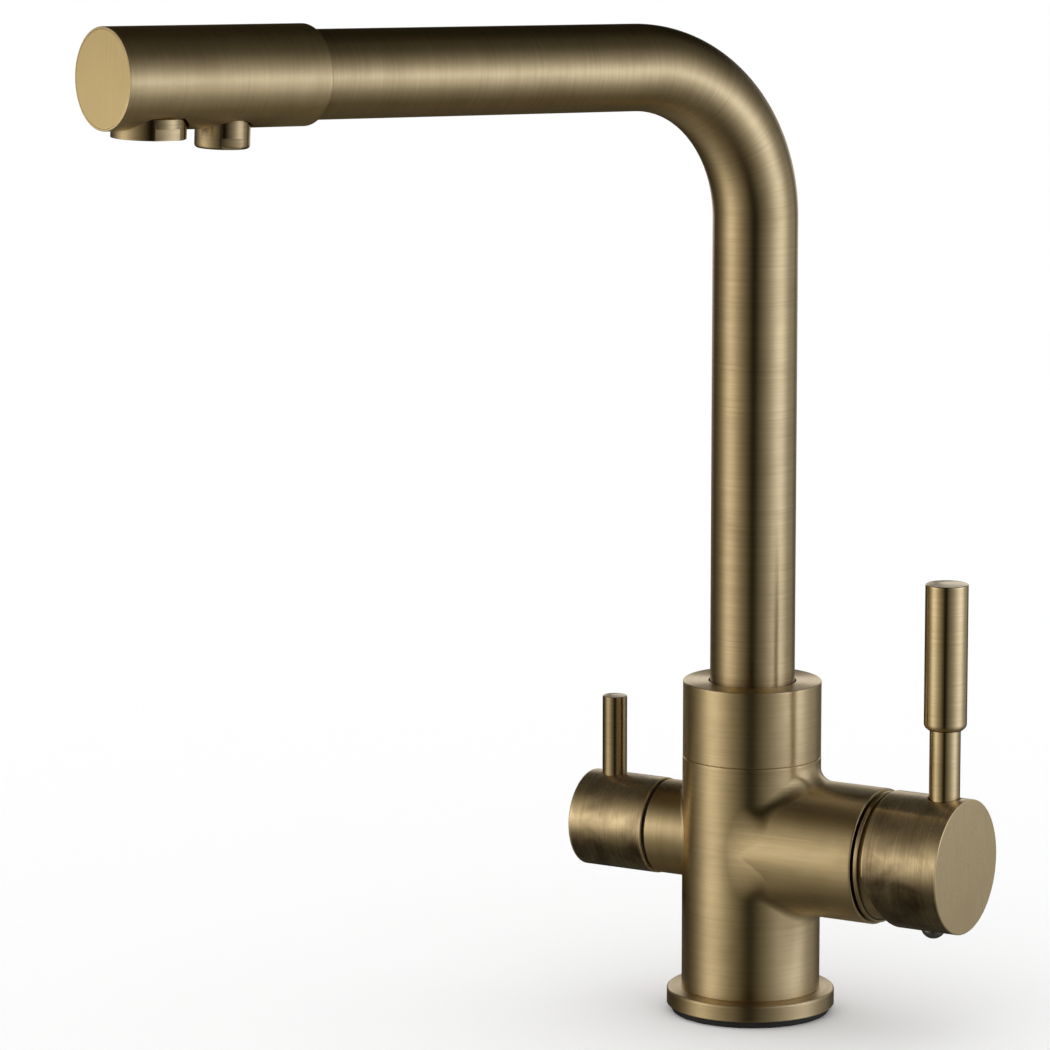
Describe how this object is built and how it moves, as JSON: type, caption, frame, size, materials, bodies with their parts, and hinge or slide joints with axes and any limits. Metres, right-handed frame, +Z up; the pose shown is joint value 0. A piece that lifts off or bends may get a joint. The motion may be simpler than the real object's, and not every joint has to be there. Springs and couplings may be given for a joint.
{
  "type": "three way filtered water tap",
  "caption": "Kitchen tap with a swivelling bent spout, a mixer lever on one side, a filtered water lever on the other, and separate nozzles for mixed and filtered water.",
  "frame": {"origin": "centre of the gasket's underside, where the column's axis meets the deck", "axes": "+Z up along the column, -Y towards the user, +X towards the mixer lever; the spout is swivelled 23.2 degrees from -Y towards the filter lever's side, as in the picture"},
  "size_m": [0.1727, 0.2366, 0.3068],
  "materials": {
    "antique_brass": "satin, brushed round the axis and darkened to antique brass",
    "raw_brass": "turned",
    "black_rubber": "matt",
    "white_plastic": "moulded",
    "ceramic": "lapped ceramic",
    "steel": "turned",
    "chrome": "polished"
  },
  "bodies": {
    "root": {"body_casting": "antique_brass", "base_ring": "antique_brass", "base_gasket": "black_rubber", "collar": "antique_brass", "collar_bush": "white_plastic", "slip_ring": "white_plastic", "inner_tube_seal": "black_rubber", "cartridge_housing": "white_plastic", "cartridge_base": "white_plastic", "cartridge_seals": "black_rubber", "fixed_disc": "ceramic", "cartridge_nut": "raw_brass", "cartridge_shroud": "antique_brass", "filter_headwork": "raw_brass", "filter_seat_seal": "black_rubber", "filter_fixed_disc": "ceramic", "filter_gap_ring": "black_rubber"},
    "spout": {"spout_tube": "antique_brass", "spout_tail": "raw_brass", "spout_o_rings": "black_rubber", "inner_tube": "steel", "outlet_head": "antique_brass", "outlet_end_cap": "antique_brass", "aerator_housing": "antique_brass", "aerator_insert": "white_plastic", "aerator_seal": "black_rubber", "filter_nozzle": "antique_brass", "filter_nozzle_insert": "white_plastic", "filter_nozzle_seal": "black_rubber"},
    "mixer_turret": {"cartridge_turret": "white_plastic", "pivot_pin": "steel"},
    "mixer_lever": {"mixer_spindle": "steel", "handle_cap": "antique_brass", "lever_stem": "antique_brass", "lever_grip": "antique_brass", "handle_screw": "chrome"},
    "mixer_disc": {"moving_disc": "ceramic", "disc_carrier": "white_plastic"},
    "filter_lever": {"filter_spindle": "raw_brass", "filter_spindle_seal": "black_rubber", "filter_turning_disc": "ceramic", "filter_clip": "steel", "filter_hub": "antique_brass", "filter_rod": "antique_brass", "filter_grub_screw": "steel"}
  },
  "joints": [
    {"name": "spout_swivel", "type": "hinge", "parent": "root", "child": "spout", "pos_m": [0, 0, 0.0777], "axis": [0, 0, 1], "continuous": true},
    {"name": "mixer_turn", "type": "hinge", "parent": "root", "child": "mixer_turret", "pos_m": [0.0435, 0, 0.052], "axis": [1, 0, 0], "range_deg": [-45, 45]},
    {"name": "mixer_lift", "type": "hinge", "parent": "mixer_turret", "child": "mixer_lever", "pos_m": [0.037, 0, 0.052], "axis": [0, 1, 0], "range_deg": [0, 18]},
    {"name": "disc_slide", "type": "slide", "parent": "mixer_turret", "child": "mixer_disc", "axis": [0, 0, 1], "range_m": [0, 0.0024]},
    {"name": "filter_turn", "type": "hinge", "parent": "root", "child": "filter_lever", "pos_m": [-0.03, 0, 0.0528], "axis": [1, 0, 0], "range_deg": [0, 90]}
  ],
  "couplings": [
    {"joint": "disc_slide", "follows": "mixer_lift", "m_per_rad": 0.0075}
  ]
}
